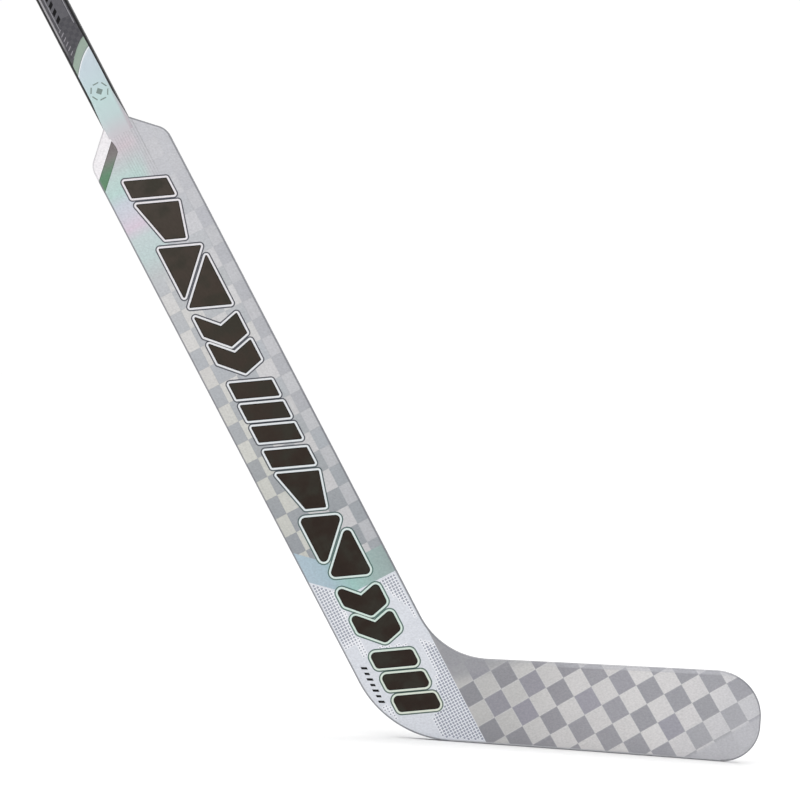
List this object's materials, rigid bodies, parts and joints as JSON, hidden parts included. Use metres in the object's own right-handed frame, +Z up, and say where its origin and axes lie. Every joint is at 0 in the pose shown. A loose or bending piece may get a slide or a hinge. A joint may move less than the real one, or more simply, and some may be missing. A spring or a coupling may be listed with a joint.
{
  "type": "ice hockey goal stick",
  "caption": "Composite goaltender's ice hockey stick: slim straight shaft, wide flat paddle with sloped shoulders, and a slightly curved blade set at a steep lie.",
  "frame": {"origin": "on the sole, on its flat underside, 150 mm towards the toe from the heel point, which is where the line of the paddle's back edge meets the line of the sole", "axes": "+Z up, away from the ice, with the stick in its playing position and its sole flat; +X along the sole from heel to toe; the playing face looks towards -Y and the back towards +Y; the shaft leans back towards -X, 121.6 degrees from +X"},
  "size_m": [1.1389, 0.0302, 1.3266],
  "materials": {
    "shaft_composite": "clear-coated carbon tube, charcoal above and pale pearl below",
    "butt_rubber": "moulded black end plug",
    "face_laminate": "silver-grey spread-tow checker under a satin clear coat",
    "edge_wrap": "grey glass-fibre edge wrap under clear coat",
    "sole_wear": "dull wear strip",
    "fairing_wrap": "pearl mint overwrap, clear-coated",
    "spine_composite": "bare carbon laminate",
    "core_foam": "rigid closed-cell foam",
    "heel_foam": "dense syntactic foam block"
  },
  "bodies": {
    "root": {"shaft_tube": "shaft_composite", "butt_plug": "butt_rubber", "paddle_spine": "spine_composite", "spine_foam": "core_foam", "fairing_face": "fairing_wrap", "fairing_back": "fairing_wrap", "paddle_skin_face": "face_laminate", "paddle_skin_back": "face_laminate", "paddle_core_back": "core_foam", "paddle_core_front": "core_foam", "heel_block": "heel_foam", "paddle_wrap_front": "edge_wrap", "paddle_wrap_back": "edge_wrap", "shoulder_wrap_front": "edge_wrap", "shoulder_wrap_back": "edge_wrap", "heel_wrap": "edge_wrap", "throat_wrap": "edge_wrap", "blade_wrap_top": "edge_wrap", "blade_wrap_toe": "edge_wrap", "sole_strip": "sole_wear", "blade_skin_face": "face_laminate", "blade_skin_back": "face_laminate", "blade_core_lower": "core_foam", "blade_rib": "spine_composite", "blade_core_upper": "core_foam"}
  },
  "joints": []
}
